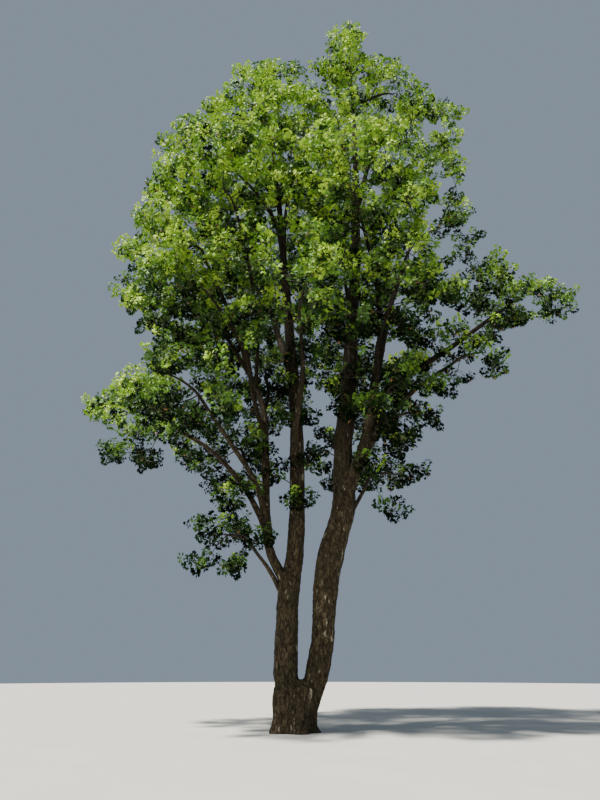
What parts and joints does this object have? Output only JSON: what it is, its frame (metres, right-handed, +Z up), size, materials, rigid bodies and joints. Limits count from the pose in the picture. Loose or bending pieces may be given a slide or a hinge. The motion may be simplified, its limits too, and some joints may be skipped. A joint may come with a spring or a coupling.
{
  "type": "maple tree",
  "caption": "Large twin-stemmed broadleaf maple in summer leaf, rooted in level ground, with a flared trunk, a low fork, rising boughs and an irregular open crown.",
  "frame": {"origin": "in the flat cut under the trunk, at ground level, below the fork of the two stems", "axes": "+Z up along the trunk, +X to the right as the picture sees it, towards the long bough, +Y away from the picture's viewpoint"},
  "size_m": [16.702, 12.1762, 26.606],
  "materials": {
    "bark": "rough, scaly grey-brown bark",
    "foliage": "soft satin leaf green"
  },
  "bodies": {
    "root": {"trunk": "bark", "left_stem": "bark", "right_stem": "bark", "outer_stem": "bark", "side_stem": "bark", "bough_long_right": "bark", "bough_under_long": "bark", "bough_low_right": "bark", "bough_low_left": "bark", "bough_lower_back_right": "bark", "bough_lower_back_left": "bark", "bough_lower_left": "bark", "bough_lower_front_left": "bark", "bough_lower_front_right": "bark", "bough_middle_back_right": "bark", "bough_middle_back": "bark", "bough_middle_front_left": "bark", "bough_middle_front": "bark", "bough_middle_front_right": "bark", "bough_upper_back_right": "bark", "bough_upper_back_left": "bark", "bough_upper_left": "bark", "bough_upper_front_left": "bark", "bough_upper_front_right": "bark", "bough_high_right": "bark", "bough_high_back": "bark", "bough_high_left": "bark", "foliage_leader": "foliage", "foliage_long_right": "foliage", "foliage_under_long": "foliage", "foliage_lower_right": "foliage", "foliage_low_right": "foliage", "foliage_low_left": "foliage", "foliage_lower_back_right": "foliage", "foliage_lower_back_left": "foliage", "foliage_lower_left": "foliage", "foliage_lower_front_left": "foliage", "foliage_lower_front_right": "foliage", "foliage_middle_back_right": "foliage", "foliage_middle_back": "foliage", "foliage_middle_left": "foliage", "foliage_middle_front_left": "foliage", "foliage_middle_front": "foliage", "foliage_middle_front_right": "foliage", "foliage_upper_right": "foliage", "foliage_upper_back_right": "foliage", "foliage_upper_back_left": "foliage", "foliage_upper_left": "foliage", "foliage_upper_front_left": "foliage", "foliage_upper_front_right": "foliage", "foliage_high_right": "foliage", "foliage_high_back": "foliage", "foliage_high_left": "foliage", "foliage_high_front": "foliage", "foliage_top_right": "foliage", "foliage_top_back": "foliage", "foliage_top_left": "foliage"}
  },
  "joints": []
}
